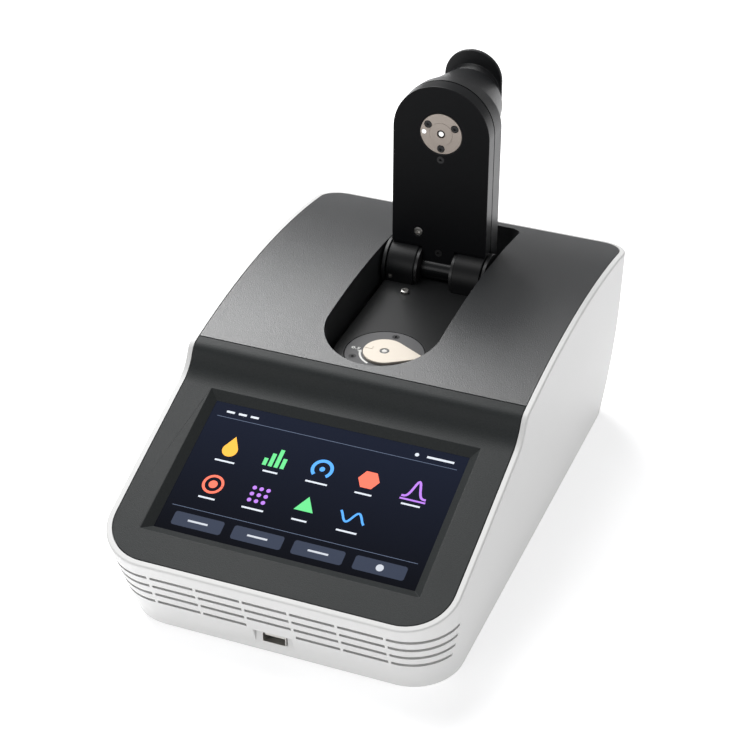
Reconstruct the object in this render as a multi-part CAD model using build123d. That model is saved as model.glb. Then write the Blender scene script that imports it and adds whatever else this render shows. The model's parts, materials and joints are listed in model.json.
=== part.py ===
from build123d import *
import os
from math import asin, atan, cos, degrees, hypot, radians, sin, sqrt, tan

# Microvolume spectrophotometer with its measuring arm raised.
# Millimetres. +X is the instrument's right, +Y its back, Z is up from the bench.

# Housing
width = 208.0
depth = 340.6
foot_drop = 2.0  # the feet stand out this far below the housing
wall = 3.5
front_corner = 30.0
back_corner = 18.0
chin_lean = 19.2  # degrees that the front wall leans in towards the bench
back_lean = 8.5
side_draw = 5.7  # each side pulls in this far at the bottom
side_draw_height = 85.0  # and starts to do so at this height
rim_round = 1.2

# Roof line, seen from the side
panel_tilt = 19.3
panel_front_height = 56.8
ridge_from_front = 140.5
ridge_height = 115.8
shoulder_from_ridge = 8.0
shoulder_angle = 65.0
nose_radius = 8.0
foot_radius = 22.0
back_height = 111.4
dome_crown = 10.2

# Covers
cover_gap = 0.5
skin = 3.0
seam = 0.5
ledge_reach = 3.0
ledge_thickness = 2.5

# Front vents
vent_top_height = 46.6
vent_pitch = 7.4
vent_height = 2.4
vent_count = 4
vent_back_from_front = 30.0
vent_bridge_pitch = 27.8
vent_bridge = 1.6
vent_port_break = 29.5

# Front port, a type A socket
port_width = 14.4
port_height = 7.0
port_length = 14.0
port_shell = 0.5
port_centre_height = 15.8
port_stand_out = 1.2
recess_width = 23.2
recess_bottom = 10.4
recess_top = 21.5
port_fit = 0.3

# Display
display_from_front = 73.7
window_width = 154.2
window_height = 90.0
bevel_width = 164.6
bevel_height = 101.0
bevel_depth = 3.7
glass_thickness = 1.1
glass_margin = 5.0
module_thickness = 5.0
bracket_thickness = 1.2
bracket_post_x = 88.5
bracket_post_y = 38.0
bracket_post_radius = 3.5

# Measuring deck in the well of the cover
measuring_x = 0.0
measuring_from_front = 180.55
deck_width = 61.2
deck_top = 102.9
deck_thickness = 8.0
deck_behind_hinge = 20.0
well_width = 70.0
well_behind_hinge = 56.5
well_corner = 8.0
well_lip_round = 1.0
well_wall = 1.8
well_wall_drop = 14.0
well_floor = 2.0
pillar_radius = 5.0

# Selector disc and its ring
ring_radius = 23.7
ring_thickness = 3.0
ring_screw_circle = 19.0
selector_radius = 12.8
selector_reach = 25.2
selector_tip_radius = 1.0
selector_thickness = 1.6
selector_angle = 3.0
selector_lift = 0.1
bush_radius = 2.9
bush_wall = 1.2
running_fit = 0.05
seat_fit = 0.25

# Arm and its hinge
hinge_to_measuring = 93.75
arm_lean = 1.1  # the raised arm leans back past upright by this much
arm_width = 61.0
arm_face_offset = 3.6  # the arm's face lies this far in front of the hinge axis
closed_gap = 2.1  # arm face to deck when the arm is down
frame_thickness = 9.2
arm_groove = 0.8
arm_groove_depth = 1.0
arm_back = 18.5
arm_shell = 2.0
top_round_back = 27.7  # the rounded end draws in to this height at its back
barrel_end = 46.4
barrel_end_radius = 21.5
arm_plate_gap = 0.7
eye_radius = 7.0
eye_width = 21.0
pin_radius = 4.0
knuckle_radius = 15.5
knuckle_width = 17.8
knuckle_disc = 1.6
knuckle_clear = 0.3
end_disc_thickness = 2.2

# Grip on the end of the barrel
neck_radius = 19.6
neck_top_radius = 17.8
neck_top_shift = 4.2
neck_height = 6.2
flange_radius = 18.5
flange_shift = 12.6
flange_tail = 2.0
flange_thickness = 3.0

# Arm disc and screws
disc_radius = 13.0
disc_thickness = 3.0
disc_gap = 0.3
disc_step = 0.35
disc_boss_radius = 7.4
disc_step_line = 3.3
disc_screw_circle = 9.8
optic_hole_radius = 2.6
ferrule_radius = 1.6
stop_screw_x = -13.5
stop_screw_from_hinge = 25.3

# Base plate, feet and inner modules
plate_thickness = 1.5
plate_gap = 0.3
foot_radius_rubber = 9.0
foot_x = 76.0
foot_inset_front = 44.0
foot_inset_back = 46.0
base_screw_inset = 22.0
boss_radius = 4.5
boss_height = 12.0
board_thickness = 1.6
standoff_height = 6.0
standoff_radius = 3.0

# Rear connector panel
rear_panel_width = 118.0
rear_panel_height = 32.0
rear_panel_centre = 30.0
rear_panel_thickness = 1.6
rear_panel_land = 4.0
rocker_width = 11.0
rocker_length = 17.0
rocker_throw = 12.0
rocker_wall = 1.2
rocker_play = 0.6
rocker_rim = 1.4
rocker_box = 14.0
rocker_pivot_depth = 3.0
rocker_axle = 1.2
jack_radius = 4.4
jack_bore = 3.1
jack_pin = 1.0
data_port_width = 12.0
data_port_height = 10.9

# Screws
m3_radius = 1.5
m3_head = 2.8
m25_radius = 1.25
m25_head = 2.3

front_y = -depth / 2
back_y = depth / 2
measuring_y = front_y + measuring_from_front
hinge_y = measuring_y + hinge_to_measuring
hinge_z = deck_top + closed_gap + arm_face_offset
ridge_y = front_y + ridge_from_front
panel_slope = tan(radians(panel_tilt))


def panel_height(y):
    return panel_front_height + (y - front_y) * panel_slope


def chin_y(z, inset=0.0):
    lean = radians(chin_lean)
    return front_y + (panel_front_height - z) * tan(lean) + inset / cos(lean)


def rear_y(z, inset=0.0):
    lean = radians(back_lean)
    return back_y - (back_height - z) * tan(lean) - inset / cos(lean)


def dome_arc():
    mid_y = (ridge_y + back_y) / 2
    mid_z = (ridge_height + back_height) / 2 + dome_crown
    return ThreePointArc((ridge_y, ridge_height), (mid_y, mid_z), (back_y, back_height))


def under_roof(drop=0.0):
    # Everything below the roof line, as a slab across the width, lowered square to the line.
    reach = 40.0
    dome = dome_arc()
    start = dome % 0
    end = dome % 1
    shoulder = Vector(ridge_y, ridge_height) - start * (shoulder_from_ridge / start.X)
    steep = tan(radians(shoulder_angle))
    foot_y = (panel_height(0) - shoulder.Y + shoulder.X * steep) / (steep - panel_slope)
    front = (front_y - reach, panel_height(front_y - reach))
    foot = (foot_y, panel_height(foot_y))
    slope = FilletPolyline(
        front, foot, (shoulder.X, shoulder.Y), (ridge_y, ridge_height), radius=(foot_radius, nose_radius)
    )
    last = Vector(back_y, back_height) + end * (reach / end.X)
    outline = slope + dome + Line((back_y, back_height), (last.X, last.Y))
    sides = Polyline((last.X, last.Y), (last.X, -reach), (front[0], -reach), front)
    region = make_face(outline.edges() + sides.edges())
    if drop:
        region = offset(region, amount=-drop, kind=Kind.INTERSECTION)
    return extrude(Plane.YZ * region, amount=width, both=True)


def side_section(inset, low, high):
    half = width / 2 - inset
    fall = side_draw_height - foot_drop
    bend = (fall**2 + side_draw**2) / (2 * side_draw)
    centre_x = half - bend
    radius = bend

    def side_x(z):
        return centre_x + sqrt(radius**2 - (side_draw_height - z) ** 2)

    mid = (side_draw_height + low) / 2
    right = Line((half, high), (half, side_draw_height))
    right += ThreePointArc((half, side_draw_height), (side_x(mid), mid), (side_x(low), low))
    left = mirror(right, about=Plane.YZ)
    ends = Line((-half, high), (half, high)) + Line((-side_x(low), low), (side_x(low), low))
    return make_face(right.edges() + left.edges() + ends.edges())


def body_form(inset=0.0, low=foot_drop, high=150.0):
    # The housing's outer form, or the same form drawn in by inset on all its walls.
    side = Polyline(
        (chin_y(low, inset), low),
        (rear_y(low, inset), low),
        (rear_y(high, inset), high),
        (chin_y(high, inset), high),
        close=True,
    )
    block = extrude(Plane.YZ * make_face(side), amount=width, both=True)
    block &= extrude(Plane.XZ * side_section(inset, low, high), amount=depth, both=True)
    uprights = [e for e in block.edges() if abs((e % 0.5).Z) > 0.5]
    block = fillet([e for e in uprights if e.center().Y < 0], front_corner - inset)
    uprights = [e for e in block.edges() if abs((e % 0.5).Z) > 0.5]
    return fillet([e for e in uprights if e.center().Y > 0], back_corner - inset)


def layer(inset, top, bottom, reach=0.0):
    # A layer that follows the roof line, between two depths below it.
    form = body_form(inset)
    return (form & under_roof(top)) - under_roof(bottom)


def well_outline(grow=0.0, front=True):
    radius = well_width / 2 + grow
    back = hinge_y + well_behind_hinge + grow
    rect = Pos(0, (measuring_y + back) / 2) * Rectangle(2 * radius, back - measuring_y)
    rect = fillet(rect.vertices().group_by(Axis.Y)[-1], well_corner + grow)
    return rect + Pos(measuring_x, measuring_y) * Circle(radius)


def vent_slots():
    low_reach = body_form(-1) - body_form(wall + 1)
    slots = Part()
    for row in range(vent_count):
        z = vent_top_height - row * vent_pitch
        slab = Pos(0, front_y, z) * Box(width + 10, 2 * vent_back_from_front, vent_height)
        cut = low_reach & slab
        half_count = int(width / 2 / vent_bridge_pitch)
        for side in range(-half_count, half_count):
            x = (side + 0.5) * vent_bridge_pitch
            cut -= Pos(x, front_y, z) * Box(vent_bridge, depth / 4, 2 * vent_height)
        if z - vent_pitch < recess_top:
            cut -= Pos(0, front_y, z) * Box(vent_port_break, depth / 4, 2 * vent_height)
        slots += cut
    return slots


def port_recess_y():
    return chin_y(recess_bottom)


def rear_plane(x=0.0, height=rear_panel_centre, out=0.0):
    lean = radians(back_lean)
    origin = Vector(x, rear_y(height), height) + Vector(0, cos(lean), -sin(lean)) * out
    return Plane(origin=origin, x_dir=(-1, 0, 0), z_dir=(0, cos(lean), -sin(lean)))


def panel_plane(out=0.0):
    tilt = radians(panel_tilt)
    y = front_y + display_from_front * cos(tilt)
    origin = Vector(0, y, panel_height(y)) + Vector(0, -sin(tilt), cos(tilt)) * out
    return Plane(origin=origin, x_dir=(1, 0, 0), z_dir=(0, -sin(tilt), cos(tilt)))


def base_screw_places():
    x = width / 2 - side_draw - wall - 9
    ys = [chin_y(foot_drop) + base_screw_inset, 0, rear_y(foot_drop) - base_screw_inset]
    return [Pos(side * x, y, 0) for side in (-1, 1) for y in ys]


def foot_places():
    ys = [chin_y(foot_drop) + foot_inset_front, rear_y(foot_drop) - foot_inset_back]
    return [Pos(side * foot_x, y, 0) for side in (-1, 1) for y in ys]


def housing():
    shell = body_form() & under_roof()
    shell -= body_form(wall, low=-5)
    plate_top = foot_drop + plate_thickness
    ledge = layer(wall - 0.2, skin, skin + ledge_thickness) - body_form(wall + ledge_reach, low=-5)
    lower = body_form(wall - 0.2) & Pos(0, 0, plate_top + 1.5) * Box(width * 2, depth * 2, 3)
    lower -= body_form(wall + ledge_reach, low=-5)
    shell += ledge + lower
    for place in base_screw_places():
        boss = Pos(0, 0, plate_top) * Cylinder(boss_radius, boss_height, align=(Align.CENTER, Align.CENTER, Align.MIN))
        web = Pos(0, 0, plate_top) * Box(20, 2.5, boss_height, align=(Align.CENTER, Align.CENTER, Align.MIN))
        shell += place * (boss + web) & body_form(wall - 0.2)
    shell -= vent_slots()
    shell = add_port_recess(shell)
    panel = Box(rear_panel_width + 2 * plate_gap, rear_panel_height + 2 * plate_gap, 2 * rear_panel_thickness)
    opening = Box(rear_panel_width - 4 * rear_panel_land, rear_panel_height - 2 * rear_panel_land, 30)
    shell -= rear_plane() * panel
    shell -= rear_plane() * opening
    for place in rear_screw_places():
        shell -= place * Cylinder(m25_radius + running_fit, 12)
    for place in base_screw_places():
        shell -= place * Cylinder(m3_radius + running_fit, 2 * (plate_top + 8))
    return shell


def add_port_recess(shell):
    y = port_recess_y()
    centre = (recess_bottom + recess_top) / 2
    high = recess_top - recess_bottom
    pad = Pos(0, y + wall / 2, centre) * Box(recess_width + 6, wall, high + 6)
    shell += pad & body_form()
    cut = Pos(0, y, centre) * Box(recess_width, 40, high, align=(Align.CENTER, Align.MAX, Align.CENTER))
    shell -= cut
    hole = Box(port_width + 2 * port_fit, 30, port_height + 2 * port_fit)
    return shell - Pos(0, y, port_centre_height) * hole


def base_plate():
    slab = Pos(0, 0, foot_drop + plate_thickness / 2) * Box(width * 2, depth * 2, plate_thickness)
    plate = body_form(wall + plate_gap, low=-5) & slab
    for place in base_screw_places():
        plate -= place * Cylinder(m3_radius + 0.2, 30)
    for place in foot_places():
        plate -= place * Cylinder(foot_stem_radius() + running_fit, 30)
    for row in range(7):
        y = -40 + row * 9
        plate -= Pos(0, y, 0) * extrude(SlotOverall(60, 3), amount=10, both=True)
    return plate


def foot_stem_radius():
    return foot_radius_rubber / 3


def feet():
    pads = Part()
    for place in foot_places():
        pad = extrude(Circle(foot_radius_rubber), amount=foot_drop)
        pad = chamfer(pad.edges().group_by(Axis.Z)[0], 0.6)
        stem = extrude(Circle(foot_stem_radius()), amount=foot_drop + plate_thickness + 1.0)
        pads += place * (pad + stem)
    return pads


def pan_screw(radius, head, length):
    # Head above the origin, shank below it, with a cross recess.
    height = head * 0.6
    top = extrude(Circle(head), amount=height)
    top = fillet(top.edges().group_by(Axis.Z)[-1], height * 0.6)
    shank = extrude(Circle(radius), amount=-length)
    cross = Pos(0, 0, height) * (Box(head, 0.6, height) + Box(0.6, head, height))
    return top + shank - cross


def sunk_screw(radius, head, length):
    # Countersunk, with its top at the origin and a hexagon socket.
    cone = Cone(radius, head, head - radius, align=(Align.CENTER, Align.CENTER, Align.MAX))
    shank = extrude(Circle(radius), amount=-length)
    return cone + shank - extrude(RegularPolygon(head * 0.42, 6), amount=-head * 0.5)


def sunk_hole(radius, head, length):
    hole = Cylinder(radius + running_fit, length + 0.5, align=(Align.CENTER, Align.CENTER, Align.MAX))
    cone = Cone(
        radius + running_fit, head + running_fit, head - radius, align=(Align.CENTER, Align.CENTER, Align.MAX)
    )
    return hole + cone + Cylinder(head + running_fit, 1, align=(Align.CENTER, Align.CENTER, Align.MIN))


def base_screws():
    screw = Rot(180, 0, 0) * pan_screw(m3_radius, m3_head, 8.0)
    return Part() + [place * Pos(0, 0, foot_drop) * screw for place in base_screw_places()]


def front_bezel():
    shell = layer(wall + cover_gap, 0, skin)
    shell &= Pos(0, ridge_y - seam / 2, 0) * Box(width * 2, depth, 400, align=(Align.CENTER, Align.MAX, Align.CENTER))
    plane = panel_plane()
    frame = plane * Pos(0, 0, -bevel_depth) * extrude(Rectangle(bevel_width + 8, bevel_height + 6), amount=bevel_depth)
    shell += frame & under_roof(0.5)
    posts = Part()
    for place in bracket_places():
        drop = bevel_depth + glass_thickness + module_thickness
        post = extrude(Circle(bracket_post_radius), amount=skin - drop - 0.5)
        posts += plane * place * Pos(0, 0, -skin + 0.5) * post
    shell += posts
    outer = Rectangle(bevel_width, bevel_height)
    inner = Pos(0, 0, -bevel_depth) * Rectangle(window_width, window_height)
    wider = Pos(0, 0, 4) * Rectangle(
        bevel_width + (bevel_width - window_width) * 4 / bevel_depth,
        bevel_height + (bevel_height - window_height) * 4 / bevel_depth,
    )
    shell -= plane * loft([inner, wider])
    for place in bracket_places():
        drop = bevel_depth + glass_thickness + module_thickness
        shell -= plane * place * Pos(0, 0, -drop) * Cylinder(m25_radius + running_fit, 12)
    return shell


def bracket_places():
    return [Pos(sx * bracket_post_x, sy * bracket_post_y, 0) for sx in (-1, 1) for sy in (-1, 1)]


def display_glass():
    wide = window_width + 2 * glass_margin
    high = window_height + 2 * glass_margin
    return panel_plane(-bevel_depth) * extrude(Rectangle(wide, high), amount=-glass_thickness)


def display_module():
    wide = window_width + 2 * glass_margin - 2
    high = window_height + 2 * glass_margin - 2
    top = bevel_depth + glass_thickness
    body = extrude(Rectangle(wide, high), amount=-module_thickness)
    body = chamfer(body.edges().group_by(Axis.Z)[0], 0.8)
    return panel_plane(-top) * body


def display_bracket():
    top = bevel_depth + glass_thickness + module_thickness
    wide = 2 * (bracket_post_x + 5)
    plate = Rectangle(wide, 2 * (bracket_post_y + 5)) - Rectangle(wide - 60, 50)
    plate = fillet(plate.vertices(), 4)
    body = extrude(plate, amount=-bracket_thickness)
    for place in bracket_places():
        body -= place * Cylinder(m25_radius + 0.2, 10)
    return panel_plane(-top) * body


def display_screws():
    top = bevel_depth + glass_thickness + module_thickness + bracket_thickness
    screw = Rot(180, 0, 0) * pan_screw(m25_radius, m25_head, 5.5)
    return Part() + [panel_plane(-top) * place * screw for place in bracket_places()]


def port_shell_front():
    y = port_recess_y() - port_stand_out
    outer = fillet(Rectangle(port_width, port_height).vertices(), 0.8)
    inner = fillet(Rectangle(port_width - 2 * port_shell, port_height - 2 * port_shell).vertices(), 0.5)
    tube = extrude(outer, amount=port_length) - extrude(inner, amount=port_length - 1.5)
    face = Plane(origin=(0, y, port_centre_height), x_dir=(1, 0, 0), z_dir=(0, 1, 0))
    return face * tube


def port_tongue_front():
    y = port_recess_y() - port_stand_out
    high = port_height - 2 * port_shell
    tongue = Box(port_width - 2 * port_shell - 1.6, port_length - 3.3, 1.8, align=(Align.CENTER, Align.MIN, Align.MAX))
    root = extrude(fillet(Rectangle(port_width - 2 * port_shell - 0.2, high - 0.2).vertices(), 0.5), amount=1.5)
    root = Pos(0, y + port_length - 1.5, port_centre_height) * Rot(90, 0, 0) * root
    return Pos(0, y + 1.2, port_centre_height + high / 2 - 0.5) * tongue + root


def top_cover():
    shell = layer(wall + cover_gap, 0, skin)
    shell &= Pos(0, ridge_y + seam / 2, 0) * Box(width * 2, depth, 400, align=(Align.CENTER, Align.MIN, Align.CENTER))
    low = deck_top - well_wall_drop
    tube = extrude(Pos(0, 0, low) * well_outline(well_wall), amount=100)
    shell += tube & under_roof(1.0)
    well = extrude(Pos(0, 0, low + well_floor) * well_outline(), amount=100)
    shell -= well
    deck_space = deck_outline(seat_fit + 3.5)
    return shell - extrude(Pos(0, 0, low - 5) * deck_space, amount=20)


def deck_outline(grow=0.0):
    half = deck_width / 2 + grow
    back = hinge_y + deck_behind_hinge + grow
    rect = Pos(0, (measuring_y + back) / 2) * Rectangle(2 * half, back - measuring_y)
    return rect + Pos(measuring_x, measuring_y) * Circle(half)


def pillar_places():
    front = [Pos(side * 20, measuring_y - 12, 0) for side in (-1, 1)]
    middle = [Pos(side * 24, hinge_y - 24, 0) for side in (-1, 1)]
    return front + middle + [Pos(0, hinge_y + 14, 0)]


def measuring_deck():
    deck = extrude(Pos(0, 0, deck_top - deck_thickness) * deck_outline(), amount=deck_thickness)
    deck = chamfer(deck.edges().group_by(Axis.Z)[-1], 0.4)
    ring_seat = Pos(0, measuring_y, deck_top) * Cylinder(
        ring_radius + seat_fit, ring_thickness, align=(Align.CENTER, Align.CENTER, Align.MAX)
    )
    through = Pos(0, measuring_y, deck_top) * Cylinder(bush_radius + 4, 40)
    relief = Pos(0, hinge_y, hinge_z) * Rot(0, 90, 0) * Cylinder(eye_radius + 0.8, eye_width + 1.0)
    deck -= ring_seat + through + relief
    for place in pillar_places():
        deck -= place * Pos(0, 0, deck_top - deck_thickness) * Cylinder(m3_radius + running_fit, 10)
    stop = Pos(stop_screw_x, hinge_y - stop_screw_from_hinge, deck_top)
    deck -= stop * Cylinder(m25_radius + running_fit, 12)
    for place in bracket_screw_places():
        deck -= place * Cylinder(m3_radius + running_fit, 100)
    for place in ring_screw_places():
        deck -= place * Cylinder(m25_radius + running_fit, 14)
    return deck


def pillars():
    low = foot_drop + plate_thickness
    high = deck_top - deck_thickness
    post = extrude(RegularPolygon(pillar_radius, 6), amount=high - low)
    stud = Pos(0, 0, high - low) * extrude(Circle(m3_radius), amount=4.5)
    return Part() + [place * Pos(0, 0, low) * (post + stud) for place in pillar_places()]


def ring_screw_places():
    centre = Pos(0, measuring_y, deck_top)
    return [centre * Rot(0, 0, a) * Pos(ring_screw_circle, 0, 0) for a in (90, 210, 330)]


def pedestal_ring():
    ring = extrude(Circle(ring_radius), amount=-ring_thickness)
    ring = Pos(0, measuring_y, deck_top) * chamfer(ring.edges().group_by(Axis.Z)[-1], 0.3)
    ring -= Pos(0, measuring_y, deck_top) * Cylinder(bush_radius + running_fit, 30)
    for place in ring_screw_places():
        ring -= place * sunk_hole(m25_radius, m25_head, 6.0)
    return ring


def ring_screws():
    return Part() + [place * sunk_screw(m25_radius, m25_head, 6.0) for place in ring_screw_places()]


def selector_top():
    return deck_top + selector_lift + selector_thickness


def lower_bush():
    low = deck_top - ring_thickness - 5
    tube = Circle(bush_radius) - Circle(bush_radius - bush_wall)
    body = extrude(tube, amount=selector_top() - low - 0.15)
    shoulder = extrude(Circle(bush_radius + 3) - Circle(bush_radius - bush_wall), amount=5 - seat_fit)
    return Pos(0, measuring_y, low) * (body + shoulder)


def lower_ferrule():
    low = deck_top - ring_thickness - 16
    body = extrude(Circle(bush_radius - bush_wall - running_fit), amount=selector_top() - low - 0.1)
    collar = extrude(Circle(4.0), amount=10.8)
    return Pos(0, measuring_y, low) * (body + collar)


def selector_disc():
    reach_angle = degrees(asin(selector_radius / selector_reach))
    tangent = selector_radius / tan(radians(reach_angle))
    along = tangent * cos(radians(reach_angle))
    across = tangent * sin(radians(reach_angle))
    tip = Polyline((selector_reach, 0), (selector_reach - along, across), (0, 0), (selector_reach - along, -across), close=True)
    outline = Circle(selector_radius) + make_face(tip)
    tip_corner = outline.vertices().sort_by(Axis.X)[-1]
    outline = fillet(tip_corner, selector_tip_radius)
    plate = extrude(outline, amount=selector_thickness)
    plate = chamfer(plate.edges().group_by(Axis.Z)[-1], 0.25)
    plate -= Cylinder(bush_radius + running_fit, 20)
    pointer = Pos(-10, 0, selector_thickness) * Box(5.4, 0.45, 0.5)
    pointer += Pos(-7.5, 1.4, selector_thickness) * Box(0.45, 3.2, 0.5)
    plate -= pointer
    lift = deck_top + selector_lift
    return Pos(measuring_x, measuring_y, lift) * Rot(0, 0, selector_angle) * plate


def knuckle_x():
    return eye_width / 2 + knuckle_disc + knuckle_clear + knuckle_width / 2


def hinge_knuckle(side):
    reach = hinge_z - deck_top
    ring = Circle(knuckle_radius)
    block = Pos(0, -reach / 2) * Rectangle(2 * knuckle_radius, reach)
    section = (ring & Pos(0, 50) * Rectangle(100, 100)) + block
    section -= Circle(pin_radius + running_fit)
    face = Plane(origin=(0, hinge_y, hinge_z), x_dir=(0, 1, 0), z_dir=(1, 0, 0))
    body = face * extrude(section, amount=knuckle_width / 2, both=True)
    ends = body.edges().filter_by(lambda e: abs(e.center().X) > knuckle_width / 2 - 0.1 and e.center().Z > hinge_z)
    ends = [e for e in ends if e.bounding_box().size.Y > 2 * pin_radius + 2]
    body = chamfer(ends, 0.4)
    body = Pos(side * knuckle_x(), 0, 0) * body
    for place in bracket_screw_places():
        body -= place * Cylinder(m3_radius + running_fit, 12)
    for place in set_screw_places(side):
        body -= place * Cylinder(1.5 + running_fit, 8)
    return body


def bracket_screw_places():
    reach = knuckle_radius - 4
    return [
        Pos(side * knuckle_x(), hinge_y + end * reach, deck_top) for side in (-1, 1) for end in (-1, 1)
    ]


def set_screw_places(side):
    y = hinge_y - knuckle_radius
    x = side * (knuckle_x() + knuckle_width / 2 - 3)
    face = Rot(90, 0, 0)
    return [Pos(x, y, deck_top + 3.4) * face]


def set_screws():
    body = Cylinder(1.5, 3.0, align=(Align.CENTER, Align.CENTER, Align.MAX))
    body -= extrude(RegularPolygon(0.7, 6), amount=-1.2)
    places = set_screw_places(-1) + set_screw_places(1)
    return Part() + [place * Pos(0, 0, -0.4) * body for place in places]


def bracket_screws():
    low = deck_top - deck_thickness
    screw = Rot(180, 0, 0) * pan_screw(m3_radius, m3_head, deck_thickness + 3.5)
    return Part() + [place * Pos(0, 0, low - deck_top) * screw for place in bracket_screw_places()]


def stop_screw():
    head = extrude(Circle(m25_head + 0.4), amount=1.8)
    head = fillet(head.edges().group_by(Axis.Z)[-1], 0.7)
    head -= Pos(0, 0, 1.8) * (Box(3.0, 0.6, 1.4) + Box(0.6, 3.0, 1.4))
    shank = extrude(Circle(m25_radius), amount=-5)
    return Pos(stop_screw_x, hinge_y - stop_screw_from_hinge, deck_top) * (head + shank)


def arm_place():
    return Pos(0, hinge_y, hinge_z) * Rot(-arm_lean, 0, 0)


def across_hinge(v):
    # A plane square to the arm's thickness, v behind the hinge axis, drawn x across and u up the arm.
    return Plane(origin=(0, v, 0), x_dir=(1, 0, 0), z_dir=(0, -1, 0))


def along_x(radius, length):
    return Rot(0, 90, 0) * Cylinder(radius, length)


def arm_outline(top=None, half=arm_width / 2, low=0.0):
    # The rounded end may be lower than a half circle, as a half ellipse.
    top = top or half
    centre = hinge_to_measuring
    arc = ThreePointArc((half, centre), (0, centre + half), (-half, centre))
    if abs(top - half) > 0.01:
        arc = EllipticalCenterArc((0, centre), half, top, start_angle=0, arc_size=180)
    sides = Polyline((-half, centre), (-half, low), (half, low), (half, centre))
    return make_face(arc.edges() + sides.edges())


def knuckle_cut():
    half = arm_width / 2
    inner = eye_width / 2 - 0.1
    clear = knuckle_radius + arm_plate_gap
    cut = along_x(clear, 2 * half + 10) - Box(2 * inner, 100, 100)
    return cut


def arm_frame():
    face = -arm_face_offset
    body = across_hinge(face) * extrude(arm_outline(low=0), amount=-frame_thickness)
    inner = eye_width / 2 - 0.1
    below = Box(200, 200, 2 * sqrt((knuckle_radius + arm_plate_gap) ** 2 - arm_face_offset**2))
    body -= below - Box(2 * inner, 100, 200)
    body -= knuckle_cut()
    body -= arm_disc_seat()
    body += along_x(eye_radius, 2 * inner)
    body -= along_x(pin_radius + running_fit, 100)
    for place in arm_screw_places():
        body -= place * sunk_hole(m25_radius, m25_head, 7.0)
    body -= arm_stop_place() * Cylinder(m25_head + 0.7, 14)
    body -= disc_plane() * Cylinder(optic_hole_radius, 60)
    for place in disc_screw_places():
        body -= place * Cylinder(m25_radius + running_fit, 13)
    return arm_place() * body


def disc_plane():
    return across_hinge(-arm_face_offset) * Pos(0, hinge_to_measuring, 0)


def arm_disc_seat():
    seat = Cylinder(disc_radius + disc_gap, 2 * disc_thickness)
    return disc_plane() * seat


def disc_screw_places():
    plane = disc_plane()
    return [plane * Rot(0, 0, a) * Pos(disc_screw_circle, 0, 0) for a in (148, 29, -90)]


def arm_screw_places():
    plane = across_hinge(-arm_face_offset)
    return [plane * Pos(0, hinge_to_measuring - 17.0, 0), plane * Pos(0, 13.0, 0)]


def arm_stop_place():
    return across_hinge(-arm_face_offset) * Pos(stop_screw_x, stop_screw_from_hinge, 0)


def arm_disc():
    body = extrude(Circle(disc_radius), amount=-disc_thickness)
    low = Pos(0, -disc_radius - disc_step_line, 0) * Box(4 * disc_radius, 2 * disc_radius, 2 * disc_step)
    body -= low - Cylinder(disc_boss_radius, 10)
    groove = Cylinder(disc_boss_radius, 0.4) - Cylinder(disc_boss_radius - 0.3, 1)
    body -= groove
    body -= Cylinder(optic_hole_radius, 20)
    body -= Pos(-10.8, 0, 0) * Cylinder(1.5, 20)
    plane = disc_plane()
    body = plane * body
    for place in disc_screw_places():
        body -= place * Cylinder(m25_head + 0.15, 2 * 1.6)
        body -= place * Cylinder(m25_radius + running_fit, 20)
    return arm_place() * body


def disc_screws():
    screws = Part()
    for place in disc_screw_places():
        head = Pos(0, 0, -1.6) * extrude(Circle(m25_head), amount=1.5)
        head = chamfer(head.edges().group_by(Axis.Z)[-1], 0.3)
        head -= extrude(RegularPolygon(1.15, 6), amount=-1.0)
        shank = Pos(0, 0, -1.6) * extrude(Circle(m25_radius), amount=-4.5)
        screws += place * (head + shank)
    return arm_place() * screws


def disc_dowel():
    pin = extrude(Circle(1.45), amount=seat_fit - disc_thickness)
    return arm_place() * disc_plane() * Pos(-10.8, 0, -0.05) * pin


def upper_ferrule():
    tip = Pos(0, 0, -0.3) * extrude(Circle(ferrule_radius), amount=-12.0)
    collar = Pos(0, 0, -5.0) * extrude(Circle(optic_hole_radius - running_fit), amount=-9.0)
    return arm_place() * disc_plane() * (tip + collar)


def arm_screws():
    return arm_place() * (Part() + [p * sunk_screw(m25_radius, m25_head, 7.0) for p in arm_screw_places()])


def arm_stop_screw():
    body = extrude(Circle(m25_head + 0.6), amount=-5.0)
    body = chamfer(body.edges().group_by(Axis.Z)[-1], 0.5)
    body -= extrude(RegularPolygon(1.4, 6), amount=-2.0)
    return arm_place() * arm_stop_place() * body


def arm_cover():
    front = frame_thickness - arm_face_offset
    outer = loft_cover(front + arm_groove, arm_back, arm_width / 2, arm_width / 2, top_round_back)
    lip_half = arm_width / 2 - arm_groove_depth
    lip = across_hinge(front) * extrude(arm_outline(half=lip_half, low=-2), amount=-arm_groove)
    barrel = across_hinge(arm_back) * Pos(0, hinge_to_measuring, 0) * Rot(180, 0, 0) * Cone(
        top_round_back, barrel_end_radius, barrel_end - arm_back, align=(Align.CENTER, Align.CENTER, Align.MIN)
    )
    body = outer + lip + barrel
    body -= along_x(knuckle_radius + arm_plate_gap, 200)
    inner_back = arm_back - arm_shell
    inner_half = arm_width / 2 - arm_shell
    hollow = loft_cover(front, inner_back, inner_half, inner_half - 1, top_round_back - arm_shell, low=knuckle_radius + 4)
    bore = across_hinge(inner_back) * Pos(0, hinge_to_measuring, 0) * Rot(180, 0, 0) * Cone(
        top_round_back - arm_shell,
        barrel_end_radius - arm_shell,
        barrel_end - arm_back,
        align=(Align.CENTER, Align.CENTER, Align.MIN),
    )
    body -= hollow + bore
    for place in arm_screw_places()[:1]:
        high = inner_back - front + 0.5
        web = Pos(0, -7, 0) * Rectangle(2.5, 14)
        body += place * Pos(0, 0, -frame_thickness) * extrude(Circle(4) + web, amount=-high)
        body -= place * Cylinder(m25_radius + running_fit, 30)
    return arm_place() * body


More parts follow.
